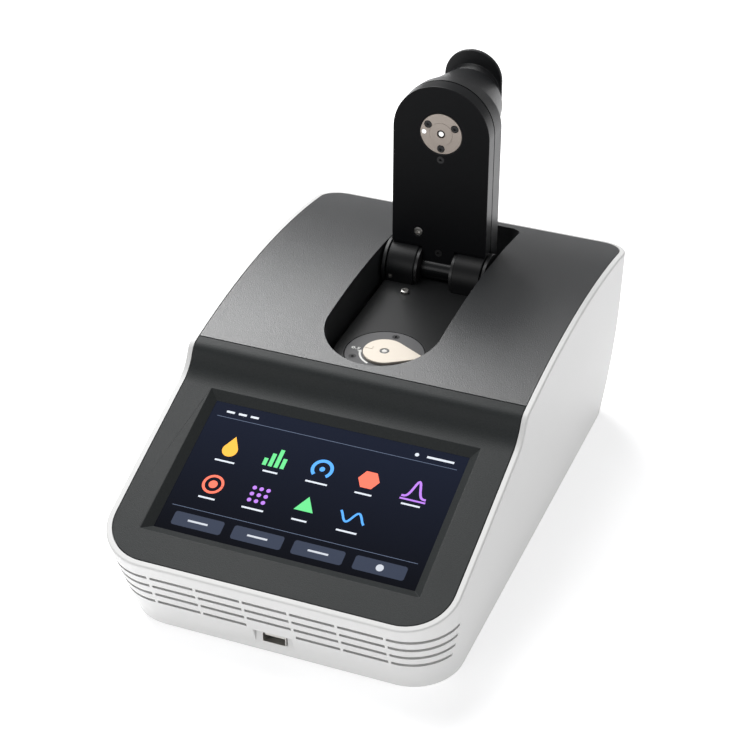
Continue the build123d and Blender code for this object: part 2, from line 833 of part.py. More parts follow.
def loft_cover(v_front, v_back, half_front, half_back, top_back, low=-2.0):
    first = across_hinge(v_front) * arm_outline(half=half_front, low=low)
    last = across_hinge(v_back) * arm_outline(top=top_back, half=half_back, low=low)
    return loft([first, last])


def grip_cap():
    base = across_hinge(barrel_end) * Pos(0, hinge_to_measuring) * Circle(neck_radius)
    mid_v = barrel_end + neck_height
    mid = across_hinge(mid_v) * Pos(0, hinge_to_measuring + neck_top_shift) * Circle(neck_top_radius)
    neck = loft([base, mid])
    rim = hull_of_circles(flange_radius, -flange_tail, flange_shift)
    flange = across_hinge(mid_v) * Pos(0, hinge_to_measuring) * extrude(rim, amount=-flange_thickness)
    flange = fillet(flange.edges().group_by(Axis.Y)[-1], flange_thickness * 0.55)
    flange = chamfer(flange.edges().group_by(Axis.Y)[0], 0.4)
    return arm_place() * (neck + flange)


def hull_of_circles(radius, low, high):
    straight = Pos(0, (low + high) / 2) * Rectangle(2 * radius, high - low)
    return Pos(0, low) * Circle(radius) + Pos(0, high) * Circle(radius) + straight


def lamp_module():
    back = barrel_end - arm_shell
    body = across_hinge(back) * Pos(0, hinge_to_measuring) * extrude(Circle(12), amount=back - 14.0)
    nose = across_hinge(14.0) * Pos(0, hinge_to_measuring) * extrude(Circle(6), amount=14.0 - 10.6)
    return arm_place() * (body + nose)


def hinge_pin():
    half = knuckle_x() + knuckle_width / 2 + end_disc_gap()
    return arm_place() * along_x(pin_radius, 2 * half)


def hinge_discs():
    # Friction discs beside the eye, and the end discs outside the knuckles.
    discs = Part()
    for side in (-1, 1):
        x = side * (eye_width / 2 + running_fit + disc_width() / 2)
        discs += Pos(x, 0, 0) * (along_x(knuckle_radius - 1.2, disc_width()) - along_x(pin_radius + running_fit, 10))
    below = Pos(0, 0, deck_top - hinge_z + seat_fit) * Box(100, 100, 40, align=(Align.CENTER, Align.CENTER, Align.MAX))
    return Pos(0, hinge_y, hinge_z) * (discs - below)


def disc_width():
    return knuckle_disc + knuckle_clear - running_fit


def end_disc_gap():
    # Enough for the end discs to pass the deck's edge.
    return deck_width / 2 + knuckle_clear - knuckle_x() - knuckle_width / 2


def end_discs():
    discs = Part()
    for side in (-1, 1):
        x = side * (knuckle_x() + knuckle_width / 2 + end_disc_gap() + end_disc_thickness / 2)
        disc = along_x(knuckle_radius, end_disc_thickness)
        discs += Pos(x, 0, 0) * disc
    return arm_place() * discs


def board_place():
    return Pos(0, -70, foot_drop + plate_thickness + standoff_height)


def standoff_places():
    return [Pos(sx * 62, -70 + sy * 42, foot_drop + plate_thickness) for sx in (-1, 1) for sy in (-1, 1)]


def board_standoffs():
    post = extrude(RegularPolygon(standoff_radius, 6), amount=standoff_height)
    return Part() + [place * post for place in standoff_places()]


def main_board():
    board = extrude(Rectangle(136, 96), amount=board_thickness)
    chips = Part()
    for x, y, w, d, h in ((-30, 10, 28, 28, 2.0), (20, 18, 16, 22, 1.6), (40, -24, 30, 12, 9.0), (-46, -30, 20, 10, 6.0)):
        chips += Pos(x, y, board_thickness) * extrude(Rectangle(w, d), amount=h)
    return board_place() * (board + chips)


def spectrometer_module():
    low = foot_drop + plate_thickness
    case = extrude(Rectangle(46, 92), amount=34)
    case = fillet(case.edges().filter_by(Axis.Z), 4)
    ears = extrude(Rectangle(62, 14), amount=3)
    inlet = Pos(0, -46, 20) * Rot(90, 0, 0) * Cylinder(4, 9, align=(Align.CENTER, Align.CENTER, Align.MIN))
    return Pos(-56, 50, low) * (case + ears + inlet)


def power_board():
    low = foot_drop + plate_thickness
    legs = Part()
    for sx in (-1, 1):
        for sy in (-1, 1):
            legs += Pos(sx * 20, sy * 34) * extrude(Circle(2.5), amount=standoff_height)
    board = Pos(0, 0, standoff_height) * extrude(Rectangle(50, 80), amount=board_thickness)
    coil = Pos(0, 10, standoff_height + board_thickness) * Cylinder(9, 12, align=(Align.CENTER, Align.CENTER, Align.MIN))
    cans = Part()
    for y in (-28, -14):
        cans += Pos(12, y, standoff_height + board_thickness) * Cylinder(5, 14, align=(Align.CENTER, Align.CENTER, Align.MIN))
    return Pos(58, 56, low) * (legs + board + coil + cans)


def rear_panel():
    plate = fillet(Rectangle(rear_panel_width, rear_panel_height).vertices(), 1.5)
    body = rear_plane() * Pos(0, 0, -rear_panel_thickness) * extrude(plate, amount=rear_panel_thickness)
    wide = rocker_width + 2 * seat_fit + 2 * rocker_wall + 2 * seat_fit
    high = rocker_length + 2 * rocker_play + 2 * rocker_wall + 2 * seat_fit
    body -= switch_place() * Box(wide, high, 20)
    body -= jack_place() * Cylinder(jack_radius + seat_fit, 20)
    body -= data_port_place() * Box(data_port_width + 2 * seat_fit, data_port_height + 2 * seat_fit, 20)
    for place in rear_screw_places():
        body -= place * sunk_hole(m25_radius, m25_head, 4.0)
    return body


def rear_screw_places():
    x = rear_panel_width / 2 - rear_panel_land
    return [rear_plane() * Pos(side * x, 0, 0) for side in (-1, 1)]


def rear_screws():
    return Part() + [place * sunk_screw(m25_radius, m25_head, 4.0) for place in rear_screw_places()]


def switch_frame():
    # A rim outside the panel and a box behind it, open in front for the rocker.
    high = rocker_length + 2 * rocker_play
    wide = rocker_width + 2 * seat_fit
    rim = fillet(Rectangle(rocker_width + 6, rocker_length + 6).vertices(), 1.5)
    rim = extrude(rim, amount=rocker_rim)
    rim = chamfer(rim.edges().group_by(Axis.Z)[-1], 0.5)
    box = extrude(Rectangle(wide + 2 * rocker_wall, high + 2 * rocker_wall), amount=-rocker_box)
    body = rim + box - Pos(0, 0, rocker_rim) * extrude(Rectangle(wide, high), amount=rocker_wall - rocker_box - rocker_rim)
    body -= Pos(0, 0, -rocker_pivot_depth) * along_x(rocker_axle, wide + rocker_wall * 1.6)
    return switch_place() * body


def power_rocker():
    # At rest it is tipped half its throw to one side.
    half = rocker_length / 2
    pivot = rocker_pivot_depth
    outline = Polyline((-half, -2), (-half, pivot + 1.6), (0, pivot + 0.2), (half, pivot + 1.6), (half, -2), close=True)
    foot = Pos(0, -1.0) * Circle(3.0)
    section = make_face(outline) + foot
    body = extrude(Plane.YZ * section, amount=rocker_width / 2, both=True)
    body += along_x(rocker_axle - running_fit, rocker_width + 2 * seat_fit + rocker_wall)
    return switch_place() * Pos(0, 0, -pivot) * Rot(rocker_throw / 2, 0, 0) * body


def power_jack():
    nose = extrude(Circle(jack_radius), amount=-rear_panel_thickness - 1.0)
    box = Pos(0, -0.5, -rear_panel_thickness - 0.1) * extrude(Rectangle(10, 12), amount=-13)
    bore = Pos(0, 0, 1) * extrude(Circle(jack_bore), amount=-11)
    return jack_place() * (nose + box - bore)


def power_jack_pin():
    pin = extrude(Circle(jack_pin), amount=8.4)
    pin = chamfer(pin.edges().group_by(Axis.Z)[-1], 0.3)
    return jack_place() * Pos(0, 0, -10) * pin


def data_port_outline(inset=0.0):
    half_x = data_port_width / 2 - inset
    half_y = data_port_height / 2 - inset
    corner = 2.4 - inset * 0.4
    points = [(-half_x, -half_y), (half_x, -half_y), (half_x, half_y - corner), (half_x - corner, half_y)]
    points += [(-half_x + corner, half_y), (-half_x, half_y - corner)]
    return make_face(Polyline(*points, close=True))


def data_port_shell():
    depth_in = 15.0
    tube = extrude(data_port_outline(), amount=-depth_in) - extrude(data_port_outline(port_shell), amount=1.0 - depth_in)
    return data_port_place() * Pos(0, 0, 0.6) * tube


def data_port_tongue():
    depth_in = 14.0
    block = extrude(data_port_outline(port_shell + 0.15), amount=-depth_in)
    hollow = extrude(data_port_outline(port_shell + 0.75), amount=2.5 - depth_in)
    core = Pos(0, 0, -0.6) * extrude(Rectangle(5.6, 3.2), amount=1.0 - depth_in)
    return data_port_place() * Pos(0, 0, 0.6) * (block - hollow + core)


def switch_place():
    return rear_plane(x=38.0)


def jack_place():
    return rear_plane(x=8.0)


def data_port_place():
    return rear_plane(x=-24.0)


def parts_table():
    return {
        "housing": housing,
        "base_plate": base_plate,
        "feet": feet,
        "base_screws": base_screws,
        "front_bezel": front_bezel,
        "display_glass": display_glass,
        "display_module": display_module,
        "display_bracket": display_bracket,
        "display_screws": display_screws,
        "front_port_shell": port_shell_front,
        "front_port_tongue": port_tongue_front,
        "top_cover": top_cover,
        "measuring_deck": measuring_deck,
        "deck_pillars": pillars,
        "pedestal_ring": pedestal_ring,
        "ring_screws": ring_screws,
        "lower_bush": lower_bush,
        "lower_ferrule": lower_ferrule,
        "selector_disc": selector_disc,
        "hinge_knuckle_left": lambda: hinge_knuckle(-1),
        "hinge_knuckle_right": lambda: hinge_knuckle(1),
        "hinge_friction_discs": hinge_discs,
        "hinge_pin": hinge_pin,
        "hinge_end_discs": end_discs,
        "knuckle_screws": bracket_screws,
        "set_screws": set_screws,
        "stop_screw": stop_screw,
        "arm_frame": arm_frame,
        "arm_cover": arm_cover,
        "grip_cap": grip_cap,
        "arm_disc": arm_disc,
        "arm_disc_screws": disc_screws,
        "arm_disc_dowel": disc_dowel,
        "upper_ferrule": upper_ferrule,
        "arm_screws": arm_screws,
        "arm_stop_screw": arm_stop_screw,
        "lamp_module": lamp_module,
        "main_board": main_board,
        "board_standoffs": board_standoffs,
        "spectrometer_module": spectrometer_module,
        "power_board": power_board,
        "rear_panel": rear_panel,
        "rear_panel_screws": rear_screws,
        "switch_frame": switch_frame,
        "power_rocker": power_rocker,
        "power_jack": power_jack,
        "power_jack_pin": power_jack_pin,
        "data_port_shell": data_port_shell,
        "data_port_tongue": data_port_tongue,
    }


if __name__ == "__main__":
    os.makedirs("parts", exist_ok=True)
    for name, make in parts_table().items():
        export_step(make(), f"parts/{name}.step")
        print(name)
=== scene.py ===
import bpy
import bmesh
import json
from math import cos, pi, radians, sin
from mathutils import Matrix, Vector


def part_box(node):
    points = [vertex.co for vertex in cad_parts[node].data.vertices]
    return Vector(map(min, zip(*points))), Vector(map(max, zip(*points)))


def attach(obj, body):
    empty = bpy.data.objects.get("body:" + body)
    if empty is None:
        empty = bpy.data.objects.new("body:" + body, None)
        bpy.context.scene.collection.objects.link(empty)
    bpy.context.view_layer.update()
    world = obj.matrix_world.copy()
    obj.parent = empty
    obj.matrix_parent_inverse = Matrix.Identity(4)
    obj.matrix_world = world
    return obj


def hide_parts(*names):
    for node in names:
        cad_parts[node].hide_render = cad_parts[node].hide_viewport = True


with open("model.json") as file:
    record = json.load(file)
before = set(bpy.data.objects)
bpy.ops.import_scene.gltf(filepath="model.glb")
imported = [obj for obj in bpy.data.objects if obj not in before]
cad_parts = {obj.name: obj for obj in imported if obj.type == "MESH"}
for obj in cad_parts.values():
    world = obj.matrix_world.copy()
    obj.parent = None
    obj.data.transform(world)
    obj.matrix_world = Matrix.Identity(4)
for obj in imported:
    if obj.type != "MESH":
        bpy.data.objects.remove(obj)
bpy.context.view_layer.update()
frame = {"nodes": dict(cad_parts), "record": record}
mm = 0.001

# Camera, lights and floor

photoView = {
    "eye": (0.382684, -0.961698, 0.780112),
    "right": (0.92924, 0.369465, -0.00302),
    "up": (-0.201816, 0.514398, 0.833466),
    "back": (0.30949, -0.77388, 0.552563),
    "lens": 101.8527,
}

studio = {
    "softboxes": [
        # name, place, size, watts
        ("topBox", (-0.45, 0.15, 1.40), (0.9, 0.8), 11.5),
        ("backLeftBox", (-0.98, 0.86, 1.32), (1.1, 0.62), 23.0),
        ("frontFill", (-0.55, -1.75, 0.65), (1.4, 0.9), 7.2),
        ("rightFill", (1.75, -0.25, 0.75), (0.9, 1.1), 3.6),
    ],
    "aim": (0.0, 0.0, 0.08),
    "worldStrength": 0.26,
    "floorColour": (0.90, 0.90, 0.91, 1.0),
    "floorLift": 0.50,
    "floorHalf": 6.0,
}


def addCamera(spec):
    camera = bpy.data.objects.new("photoView", bpy.data.cameras.new("photoView"))
    bpy.context.scene.collection.objects.link(camera)
    turn = Matrix((spec["right"], spec["up"], spec["back"])).transposed().to_4x4()
    camera.matrix_world = Matrix.Translation(spec["eye"]) @ turn
    camera.data.lens = spec["lens"]
    camera.data.sensor_width = 36.0
    camera.data.clip_start, camera.data.clip_end = 0.05, 50.0
    bpy.context.scene.camera = camera


def addSoftbox(name, place, size, watts, aim):
    lamp = bpy.data.lights.new(name, "AREA")
    lamp.shape = "RECTANGLE"
    lamp.size, lamp.size_y = size
    lamp.energy = watts
    box = bpy.data.objects.new(name, lamp)
    bpy.context.scene.collection.objects.link(box)
    box.location = place
    box.rotation_mode = "QUATERNION"
    box.rotation_quaternion = (Vector(aim) - Vector(place)).to_track_quat("-Z", "Y")


def seenDirectly(nodes, links):
    # One for rays from the camera, also through clear things, so that they see the pale background.
    path = nodes.new("ShaderNodeLightPath")
    either = nodes.new("ShaderNodeMath")
    either.operation = "MAXIMUM"
    links.new(path.outputs["Is Camera Ray"], either.inputs[0])
    links.new(path.outputs["Is Transmission Ray"], either.inputs[1])
    return either.outputs[0]


def addWorld(spec):
    world = bpy.data.worlds.new("paleStudio")
    world.use_nodes = True
    bpy.context.scene.world = world
    nodes, links = world.node_tree.nodes, world.node_tree.links
    background = nodes["Background"]
    background.inputs["Color"].default_value = (1.0, 1.0, 1.0, 1.0)
    strength = nodes.new("ShaderNodeMapRange")
    strength.inputs["To Min"].default_value = spec["worldStrength"]
    strength.inputs["To Max"].default_value = 1.0
    links.new(seenDirectly(nodes, links), strength.inputs["Value"])
    links.new(strength.outputs["Result"], background.inputs["Strength"])


def addFloor(spec):
    mesh = bpy.data.meshes.new("studioFloor")
    half = spec["floorHalf"]
    corners = [(-half, -half, 0), (half, -half, 0), (half, half, 0), (-half, half, 0)]
    mesh.from_pydata(corners, [], [(0, 1, 2, 3)])
    floor = bpy.data.objects.new("studioFloor", mesh)
    bpy.context.scene.collection.objects.link(floor)
    material = bpy.data.materials.new("studioFloor")
    material.use_nodes = True
    shader = material.node_tree.nodes["Principled BSDF"]
    shader.inputs["Base Color"].default_value = spec["floorColour"]
    shader.inputs["Roughness"].default_value = 0.9
    shader.inputs["Specular IOR Level"].default_value = 0.1
    shader.inputs["Emission Color"].default_value = (1.0, 1.0, 1.0, 1.0)
    shader.inputs["Emission Strength"].default_value = spec["floorLift"]
    mesh.materials.append(material)


addCamera(photoView)
for name, place, size, watts in studio["softboxes"]:
    addSoftbox(name, place, size, watts, studio["aim"])
addWorld(studio)
addFloor(studio)
bpy.context.scene.view_settings.view_transform = "Standard"
print("studio ready")

# Shared finish effects


def newGroup(name, inputs, outputs):
    group = bpy.data.node_groups.new(name, "ShaderNodeTree")
    for label, kind, value in inputs:
        socket = group.interface.new_socket(label, in_out="INPUT", socket_type=kind)
        if value is not None:
            socket.default_value = value
    for label, kind in outputs:
        group.interface.new_socket(label, in_out="OUTPUT", socket_type=kind)
    return group, group.nodes.new("NodeGroupInput"), group.nodes.new("NodeGroupOutput")


def mathNode(nodes, links, operation, first, second):
    node = nodes.new("ShaderNodeMath")
    node.operation = operation
    for socket, value in zip(node.inputs, (first, second)):
        if isinstance(value, (int, float)):
            socket.default_value = value
        else:
            links.new(value, socket)
    return node.outputs[0]


def makeGrainGroup():
    # Fine moulded grain as a height: rounded cells broken up by noise.
    group, entry, leave = newGroup(
        "mouldedGrain",
        [
            ("Vector", "NodeSocketVector", None),
            ("Grain size", "NodeSocketFloat", 0.0004),
            ("Unevenness", "NodeSocketFloat", 0.5),
        ],
        [("Height", "NodeSocketFloat")],
    )
    nodes, links = group.nodes, group.links
    density = mathNode(nodes, links, "DIVIDE", 1.0, entry.outputs["Grain size"])
    cells = nodes.new("ShaderNodeTexVoronoi")
    cells.feature = "SMOOTH_F1"
    cells.inputs["Smoothness"].default_value = 0.6
    noise = nodes.new("ShaderNodeTexNoise")
    noise.inputs["Detail"].default_value = 3.0
    for texture in (cells, noise):
        links.new(entry.outputs["Vector"], texture.inputs["Vector"])
        links.new(density, texture.inputs["Scale"])
    uneven = mathNode(nodes, links, "MULTIPLY", noise.outputs["Fac"], entry.outputs["Unevenness"])
    height = mathNode(nodes, links, "ADD", cells.outputs["Distance"], uneven)
    links.new(height, leave.inputs["Height"])
    return group


def makeToneGroup():
    # Shifts of tone and gloss in patches, broad as handling leaves them or as small as flecks.
    group, entry, leave = newGroup(
        "broadTone",
        [
            ("Vector", "NodeSocketVector", None),
            ("Colour", "NodeSocketColor", (0.5, 0.5, 0.5, 1.0)),
            ("Colour spread", "NodeSocketFloat", 0.05),
            ("Patch size", "NodeSocketFloat", 0.04),
            ("Roughness", "NodeSocketFloat", 0.5),
            ("Roughness spread", "NodeSocketFloat", 0.05),
        ],
        [("Colour", "NodeSocketColor"), ("Roughness", "NodeSocketFloat")],
    )
    nodes, links = group.nodes, group.links
    noise = nodes.new("ShaderNodeTexNoise")
    noise.inputs["Detail"].default_value = 4.0
    noise.inputs["Roughness"].default_value = 0.6
    links.new(entry.outputs["Vector"], noise.inputs["Vector"])
    links.new(mathNode(nodes, links, "DIVIDE", 1.0, entry.outputs["Patch size"]), noise.inputs["Scale"])
    centred = mathNode(nodes, links, "SUBTRACT", noise.outputs["Fac"], 0.5)
    lift = mathNode(nodes, links, "MULTIPLY", centred, entry.outputs["Colour spread"])
    value = nodes.new("ShaderNodeHueSaturation")
    links.new(mathNode(nodes, links, "ADD", 1.0, lift), value.inputs["Value"])
    links.new(entry.outputs["Colour"], value.inputs["Color"])
    links.new(value.outputs["Color"], leave.inputs["Colour"])
    shift = mathNode(nodes, links, "MULTIPLY", centred, entry.outputs["Roughness spread"])
    links.new(mathNode(nodes, links, "ADD", shift, entry.outputs["Roughness"]), leave.inputs["Roughness"])
    return group


def makeBrushGroup():
    # Fine turning lines round a centre, as a height.
    group, entry, leave = newGroup(
        "turnedLines",
        [("Vector", "NodeSocketVector", None), ("Line pitch", "NodeSocketFloat", 0.00025)],
        [("Height", "NodeSocketFloat")],
    )
    nodes, links = group.nodes, group.links
    length = nodes.new("ShaderNodeVectorMath")
    length.operation = "LENGTH"
    links.new(entry.outputs["Vector"], length.inputs[0])
    scaled = mathNode(nodes, links, "DIVIDE", length.outputs["Value"], entry.outputs["Line pitch"])
    noise = nodes.new("ShaderNodeTexNoise")
    noise.noise_dimensions = "1D"
    noise.inputs["Scale"].default_value = 1.0
    noise.inputs["Detail"].default_value = 2.0
    links.new(scaled, noise.inputs["W"])
    links.new(noise.outputs["Fac"], leave.inputs["Height"])
    return group


grainGroup = makeGrainGroup()
toneGroup = makeToneGroup()
brushGroup = makeBrushGroup()


def placeGroup(material, group, values):
    node = material.node_tree.nodes.new("ShaderNodeGroup")
    node.node_tree = group
    for label, value in values.items():
        node.inputs[label].default_value = value
    return node


def makeFinish(name, spec):
    material = bpy.data.materials.new(name)
    material.use_nodes = True
    nodes, links = material.node_tree.nodes, material.node_tree.links
    shader = nodes["Principled BSDF"]
    coordinates = nodes.new("ShaderNodeTexCoord")
    colour = (*spec["colour"], 1.0)
    tone = placeGroup(material, toneGroup, {
        "Colour": colour,
        "Colour spread": spec.get("colourSpread", 0.10),
        "Patch size": spec.get("patch", 0.03),
        "Roughness": spec["rough"],
        "Roughness spread": spec.get("roughSpread", 0.10),
    })
    links.new(coordinates.outputs["Object"], tone.inputs["Vector"])
    fleck = placeGroup(material, toneGroup, {
        "Colour spread": spec.get("fleck", 0.0),
        "Patch size": spec.get("fleckSize", 0.0006),
        "Roughness spread": spec.get("roughSpread", 0.10),
    })
    links.new(coordinates.outputs["Object"], fleck.inputs["Vector"])
    links.new(tone.outputs["Colour"], fleck.inputs["Colour"])
    links.new(tone.outputs["Roughness"], fleck.inputs["Roughness"])
    links.new(fleck.outputs["Colour"], shader.inputs["Base Color"])
    links.new(fleck.outputs["Roughness"], shader.inputs["Roughness"])
    shader.inputs["Metallic"].default_value = spec.get("metallic", 0.0)
    shader.inputs["Specular IOR Level"].default_value = spec.get("specular", 0.5)
    bump = nodes.new("ShaderNodeBump")
    bump.inputs["Strength"].default_value = spec.get("bump", 0.2)
    bump.inputs["Distance"].default_value = spec.get("bumpDepth", 0.00008)
    if "centre" in spec:
        place = nodes.new("ShaderNodeMapping")
        place.inputs["Location"].default_value = [-v for v in spec["centre"]]
        lines = placeGroup(material, brushGroup, {"Line pitch": spec["pitch"]})
        links.new(coordinates.outputs["Object"], place.inputs["Vector"])
        links.new(place.outputs["Vector"], lines.inputs["Vector"])
        links.new(lines.outputs["Height"], bump.inputs["Height"])
    else:
        grain = placeGroup(material, grainGroup, {"Grain size": spec.get("grain", 0.0004), "Unevenness": 0.6})
        links.new(coordinates.outputs["Object"], grain.inputs["Vector"])
        links.new(grain.outputs["Height"], bump.inputs["Height"])
    links.new(bump.outputs["Normal"], shader.inputs["Normal"])
    return material


def middleOf(node):
    return tuple((low + high) / 2 for low, high in zip(*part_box(node)))


# The display's glass has a material of its own, further down.
finishes = {
    "housing_plastic": {
        "colour": (0.66, 0.66, 0.655), "rough": 0.42, "specular": 0.45, "colourSpread": 0.03,
        "grain": 0.00035, "bump": 0.06,
    },
    "cover_plastic": {
        "colour": (0.023, 0.0245, 0.026), "rough": 0.38, "specular": 0.78, "colourSpread": 0.12,
        "roughSpread": 0.04, "grain": 0.0005, "bump": 0.6, "bumpDepth": 0.00014,
        "fleck": 1.4, "fleckSize": 0.0005,
    },
    "bezel_plastic": {
        "colour": (0.019, 0.0215, 0.022), "rough": 0.46, "specular": 0.18, "colourSpread": 0.12,
        "grain": 0.0005, "bump": 0.5, "bumpDepth": 0.00012, "fleck": 1.2, "fleckSize": 0.0005,
    },
    "module_grey": {"colour": (0.06, 0.06, 0.065), "rough": 0.6},
    "steel": {
        "colour": (0.58, 0.57, 0.55), "rough": 0.30, "metallic": 1.0, "colourSpread": 0.06,
        "grain": 0.00025, "bump": 0.08,
    },
    "black_steel": {
        "colour": (0.018, 0.018, 0.019), "rough": 0.34, "metallic": 0.3, "grain": 0.0002, "bump": 0.1,
    },
    "connector_black": {"colour": (0.014, 0.014, 0.015), "rough": 0.45, "grain": 0.0003, "bump": 0.15},
    "anodised_black": {
        "colour": (0.0085, 0.009, 0.010), "rough": 0.42, "grain": 0.00018, "bump": 0.12, "bumpDepth": 0.00004,
    },
    # painted shade: a darker, less glossy copy of the frame's finish for its forward faces
    "armFace": {
        "colour": (0.0045, 0.0048, 0.0056), "rough": 0.45, "specular": 0.10, "grain": 0.0003, "bump": 0.10,
    },
    # painted sheen: a lighter, glossier copy of the frame's finish for its rim and sides
    "armRim": {
        "colour": (0.006, 0.0065, 0.0075), "rough": 0.30, "specular": 0.28, "grain": 0.0003, "bump": 0.10,
    },
    "deckBlack": {
        "colour": (0.010, 0.0105, 0.011), "rough": 0.40, "specular": 0.32, "grain": 0.0004, "bump": 0.16,
        "fleck": 0.5,
    },
    "knuckleBlack": {
        "colour": (0.005, 0.0053, 0.006), "rough": 0.42, "specular": 0.22, "grain": 0.0003, "bump": 0.12,
    },
    "ringGrey": {
        "colour": (0.085, 0.085, 0.088), "rough": 0.45, "specular": 0.35, "grain": 0.0003, "bump": 0.10,
    },
    "champagne_metal": {
        "colour": (0.40, 0.35, 0.31), "rough": 0.40, "metallic": 0.75, "colourSpread": 0.06,
        "centre": middleOf("arm_disc"), "pitch": 0.00022, "bump": 0.10, "bumpDepth": 0.00003,
    },
    "cream_metal": {
        "colour": (0.66, 0.60, 0.52), "rough": 0.42, "metallic": 0.30, "colourSpread": 0.04,
        "centre": middleOf("pedestal_ring"), "pitch": 0.00025, "bump": 0.08, "bumpDepth": 0.00003,
    },
    "bright_metal": {
        "colour": (0.80, 0.80, 0.79), "rough": 0.12, "metallic": 1.0, "grain": 0.0003, "bump": 0.04,
    },
    "rubber_black": {"colour": (0.02, 0.02, 0.02), "rough": 0.8, "grain": 0.0005, "bump": 0.3},
    "board_green": {
        "colour": (0.015, 0.085, 0.04), "rough": 0.35, "colourSpread": 0.4, "patch": 0.004,
        "grain": 0.0012, "bump": 0.2,
    },
    "arm_plastic": {
        "colour": (0.008, 0.0085, 0.0095), "rough": 0.36, "specular": 0.5, "grain": 0.0004, "bump": 0.30,
        "fleck": 0.6,
    },
    "rear_grey": {"colour": (0.05, 0.05, 0.052), "rough": 0.48, "grain": 0.0004, "bump": 0.25},
    "port_white": {"colour": (0.62, 0.61, 0.58), "rough": 0.4, "bump": 0.05},
}
materials = {slotName: makeFinish(slotName, spec) for slotName, spec in finishes.items()}

slotOf = {entry["node"]: entry["material_slot"] for entry in frame["record"]["subparts"]}
bodies = frame["record"]["behaviour"]["bodies"]
bodyOf = {node: body for body, members in bodies.items() for node in members}


def dress(piece, material):
    piece.data.materials.clear()
    piece.data.materials.append(material)


for node, cadPiece in frame["nodes"].items():
    if slotOf[node] in materials:
        for cadSlot in cadPiece.material_slots:
            cadSlot.material = materials[slotOf[node]]
print("finishes ready")

# Softened copies of the solids


def settle(piece):
    # Turns the modifiers' result into the piece's own plain mesh.
    depsgraph = bpy.context.evaluated_depsgraph_get()
    mesh = bpy.data.meshes.new_from_object(piece.evaluated_get(depsgraph))
    mesh.name = piece.name
    piece.modifiers.clear()
    piece.data = mesh


softening = {
    "weldDistance": 2e-6,
    "flatAngle": radians(0.4),  # edges that turn less than this are dissolved
    "sharpAngle": radians(30.0),  # edges that turn more than this are rounded
    "segments": 2,
    "rimLow": 0.052,  # the housing's rim lies above this height, and its vents below
    "lipLow": 0.105,  # the well's lip lies above this height, and its floor below
    "lipReach": 0.0355,
    "lipFront": -0.026,
    "lipBack": 0.162,
    "lesserShare": 0.3,
}


dressOf = {
    # node: the finish that it has in place of its slot's own
    # the frame's lighter, glossier copy, painted sheen on its rim; its face gets the painted-shade copy
    # further down
    "arm_frame": "armRim",
    "measuring_deck": "deckBlack",
    "pedestal_ring": "ringGrey",
    "hinge_knuckle_left": "knuckleBlack",
    "hinge_knuckle_right": "knuckleBlack",
}


def edgeMiddle(edge):
    return (edge.verts[0].co + edge.verts[1].co) / 2


def topEdgeOut(edge):
    # True where an upward face meets a wall that faces away from the middle.
    up, side = sorted(edge.link_faces, key=lambda face: -face.normal.z)
    middle = edgeMiddle(edge)
    outward = side.normal.x * middle.x + side.normal.y * middle.y > 0
    return up.normal.z > 0.25 and abs(side.normal.z) < 0.45 and outward


def rimShare(edge):
    # The housing's rim is rounded, and its other edges stay crisp.
    return 1.0 if edgeMiddle(edge).z > softening["rimLow"] and topEdgeOut(edge) else 0.0


def lipShare(edge):
    # The well's lip is rounded more than the cover's other edges.
    middle = edgeMiddle(edge)
    facesUp = max(face.normal.z for face in edge.link_faces) > 0.9
    inWell = abs(middle.x) < softening["lipReach"] and softening["lipFront"] < middle.y < softening["lipBack"]
    return 1.0 if inWell and facesUp and middle.z > softening["lipLow"] else softening["lesserShare"]


def evenShare(edge):
    return 1.0


def softened(node, pieceName, width, share):
    # A copy of a solid's mesh with rounded edges, which stands for it.
    mesh = frame["nodes"][node].data.copy()
    mesh.name = pieceName
    if "custom_normal" in mesh.attributes:
        mesh.attributes.remove(mesh.attributes["custom_normal"])
    work = bmesh.new()
    work.from_mesh(mesh)
    bmesh.ops.remove_doubles(work, verts=work.verts, dist=softening["weldDistance"])
    bmesh.ops.dissolve_limit(work, angle_limit=softening["flatAngle"], verts=work.verts, edges=work.edges)
    weights = work.edges.layers.float.new("bevel_weight_edge")
    for edge in work.edges:
        sharp = len(edge.link_faces) == 2 and edge.calc_face_angle(0.0) > softening["sharpAngle"]
        edge[weights] = share(edge) if sharp else 0.0
        edge.smooth = not sharp
    for face in work.faces:
        face.smooth = True
    work.to_mesh(mesh)
    work.free()
    piece = bpy.data.objects.new(pieceName, mesh)
    bpy.context.scene.collection.objects.link(piece)
    bevel = piece.modifiers.new("edges", "BEVEL")
    bevel.width = width
    bevel.segments = softening["segments"]
    bevel.limit_method = "WEIGHT"
    bevel.use_clamp_overlap = True
    bevel.harden_normals = True
    bevel.miter_outer = "MITER_ARC"
    settle(piece)
    dress(piece, materials[dressOf.get(node, slotOf[node])])
    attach(piece, bodyOf[node])
    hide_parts(node)
    return piece


softEdges = {
    # node: (piece, edge radius, share of it that each edge gets)
    "housing": ("caseShell", 0.0012, rimShare),
    "top_cover": ("topCover", 0.0015, lipShare),
    "front_bezel": ("displayBezel", 0.0003, evenShare),
    "measuring_deck": ("measuringDeck", 0.0003, evenShare),
    "pedestal_ring": ("pedestalRing", 0.0002, evenShare),
    "selector_disc": ("selectorDisc", 0.00012, evenShare),
    "hinge_knuckle_left": ("leftKnuckle", 0.0004, evenShare),
    "hinge_knuckle_right": ("rightKnuckle", 0.0004, evenShare),
    "hinge_end_discs": ("hingeEndDiscs", 0.0004, evenShare),
    "arm_frame": ("armFrame", 0.0004, evenShare),
    "arm_cover": ("armCover", 0.0008, evenShare),
    "grip_cap": ("gripCap", 0.0004, evenShare),
    "arm_disc": ("armDisc", 0.00012, evenShare),
}
softPieces = {node: softened(node, *spec) for node, spec in softEdges.items()}
